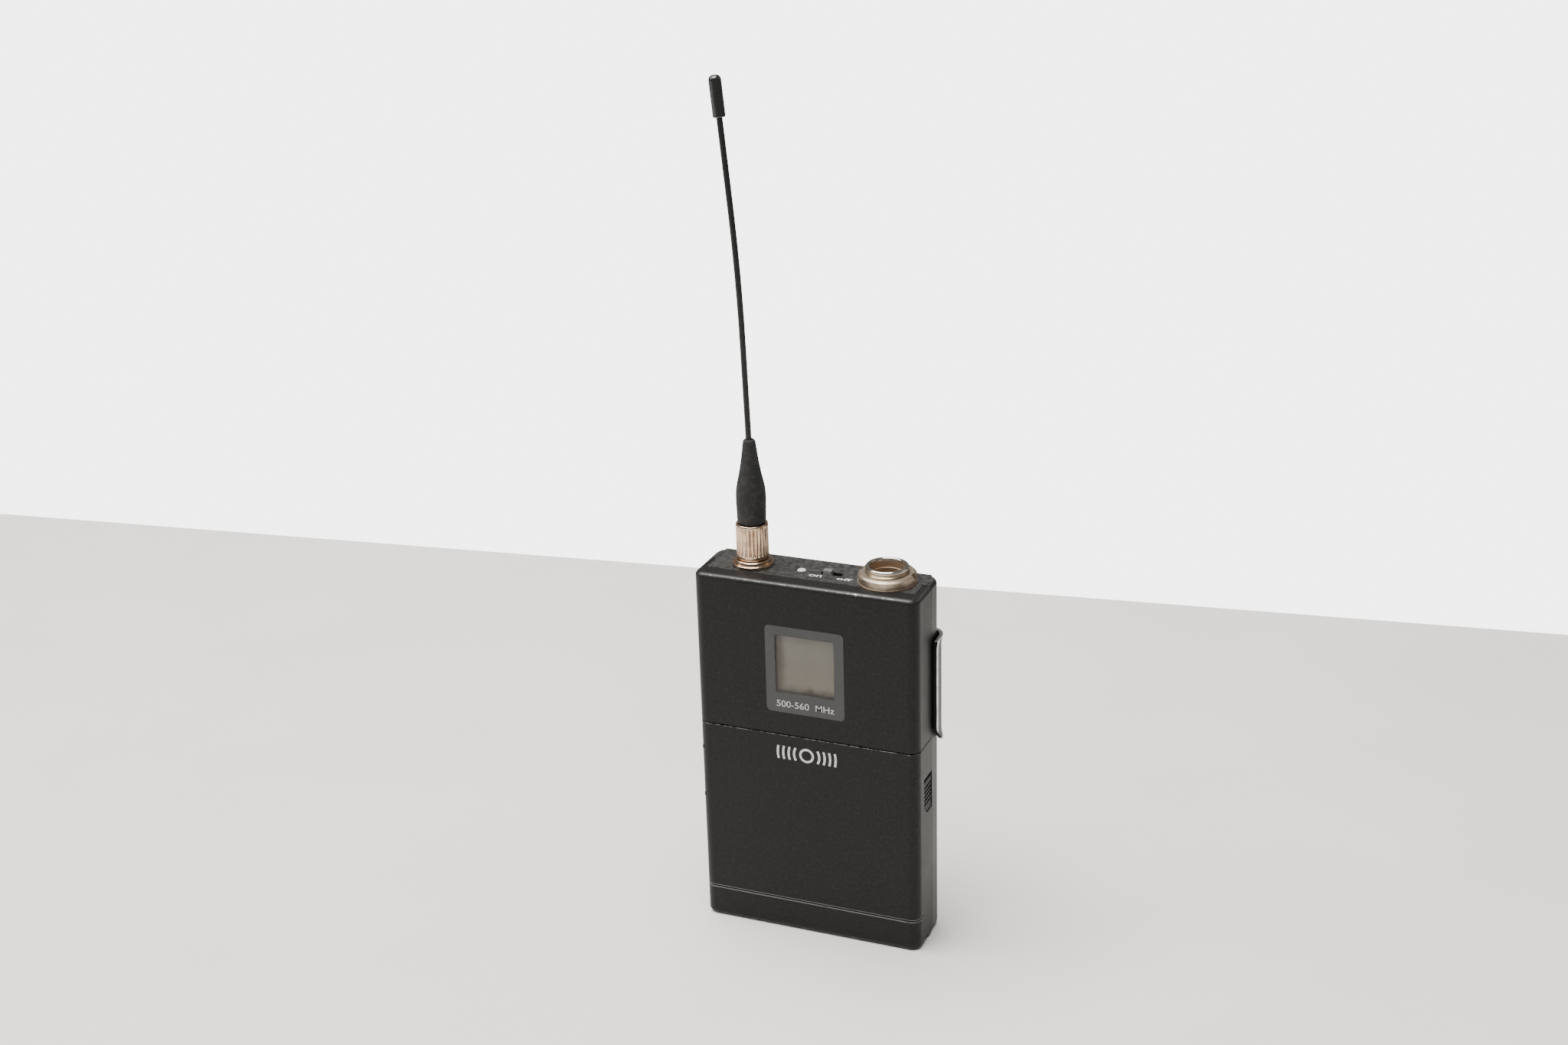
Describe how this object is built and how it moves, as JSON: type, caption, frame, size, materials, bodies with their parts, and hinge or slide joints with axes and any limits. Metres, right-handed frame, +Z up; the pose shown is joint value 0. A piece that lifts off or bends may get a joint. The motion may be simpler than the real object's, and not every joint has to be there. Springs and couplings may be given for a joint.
{
  "type": "wireless bodypack transmitter",
  "caption": "Belt-worn radio transmitter: slim rounded metal case with display, hinged battery door, screw-on whip antenna, ringed microphone jack, slide switch and sprung belt clip.",
  "frame": {"origin": "centre of the case's bottom face, at half the case's depth", "axes": "+Z up along the case towards the antenna, front face towards -Y, +X to the right seen from the front"},
  "size_m": [0.0636, 0.0282, 0.2247],
  "materials": {
    "case_paint": "satin",
    "clip_steel": "satin",
    "nickel": "satin",
    "bright_nickel": "polished",
    "gold_plate": "polished",
    "screw_steel": "satin",
    "black_plastic": "matte",
    "grey_plastic": "matte",
    "bezel_plastic": "matte",
    "gloss_black": "gloss",
    "clear_lens": "gloss",
    "led_lens": "gloss",
    "insulator": "matte",
    "boot_rubber": "matte",
    "board_green": "satin",
    "tin_can": "satin",
    "cell_jacket": "gloss",
    "lcd": "gloss",
    "ir_plastic": "gloss"
  },
  "bodies": {
    "case": {"rear_case": "case_paint", "front_case": "case_paint", "display_bezel": "bezel_plastic", "display_lens": "clear_lens", "lcd_module": "lcd", "main_board": "board_green", "board_screws": "screw_steel", "radio_board": "board_green", "shield_can": "tin_can", "board_header": "black_plastic", "case_screws": "screw_steel", "led_lens": "led_lens", "switch_body": "black_plastic", "mic_jack_shell": "bright_nickel", "mic_jack_insert": "black_plastic", "mic_jack_pins": "gold_plate", "jack_washer": "nickel", "jack_nut": "nickel", "antenna_connector": "nickel", "antenna_nut": "nickel", "antenna_insulator": "insulator", "battery_left": "cell_jacket", "battery_right": "cell_jacket", "battery_bridge": "nickel", "battery_plus_contact": "nickel", "battery_spring": "nickel", "control_panel": "black_plastic", "control_board": "board_green", "ir_window": "ir_plastic", "hinge_rod": "screw_steel", "clip_saddle": "clip_steel"},
    "antenna": {"antenna_ferrule": "nickel", "antenna_pin": "gold_plate", "antenna_boot": "boot_rubber", "antenna_whip": "gloss_black", "antenna_tip": "gloss_black"},
    "collar": {"antenna_collar": "nickel"},
    "power_switch": {"switch_knob": "grey_plastic"},
    "door": {"battery_door": "case_paint"},
    "latch_r": {"latch_right": "black_plastic"},
    "latch_l": {"latch_left": "black_plastic"},
    "enter": {"button_enter": "grey_plastic"},
    "menu": {"button_menu": "grey_plastic"},
    "tongue": {"clip_tongue": "clip_steel"}
  },
  "joints": [
    {"name": "door_hinge", "type": "hinge", "parent": "case", "child": "door", "pos_m": [0, 0.0002, 0.00175], "axis": [1, 0, 0], "range_deg": [0, 90]},
    {"name": "latch_press_right", "type": "slide", "parent": "door", "child": "latch_r", "axis": [-1, 0, 0], "range_m": [0, 0.001], "stiffness_N_per_m": 1500},
    {"name": "latch_press_left", "type": "slide", "parent": "door", "child": "latch_l", "axis": [1, 0, 0], "range_m": [0, 0.001], "stiffness_N_per_m": 1500},
    {"name": "power_slide", "type": "slide", "parent": "case", "child": "power_switch", "axis": [1, 0, 0], "range_m": [0, 0.0022]},
    {"name": "antenna_lift", "type": "slide", "parent": "case", "child": "antenna", "axis": [0, 0, 1], "range_m": [0, 0.00282]},
    {"name": "collar_turn", "type": "hinge", "parent": "antenna", "child": "collar", "pos_m": [-0.0176, 0.00115, 0.106], "axis": [0, 0, 1], "range_deg": [0, 1440]},
    {"name": "enter_press", "type": "slide", "parent": "case", "child": "enter", "axis": [0, 1, 0], "range_m": [0, 0.0004], "stiffness_N_per_m": 2000},
    {"name": "menu_press", "type": "slide", "parent": "case", "child": "menu", "axis": [0, 1, 0], "range_m": [0, 0.0004], "stiffness_N_per_m": 2000},
    {"name": "tongue_flex", "type": "hinge", "parent": "case", "child": "tongue", "pos_m": [0, 0.0098, 0.08815], "axis": [1, 0, 0], "range_deg": [0, 8], "stiffness_Nm_per_rad": 3}
  ],
  "couplings": [
    {"joint": "collar_turn", "follows": "antenna_lift", "rad_per_m": 8912.3}
  ]
}
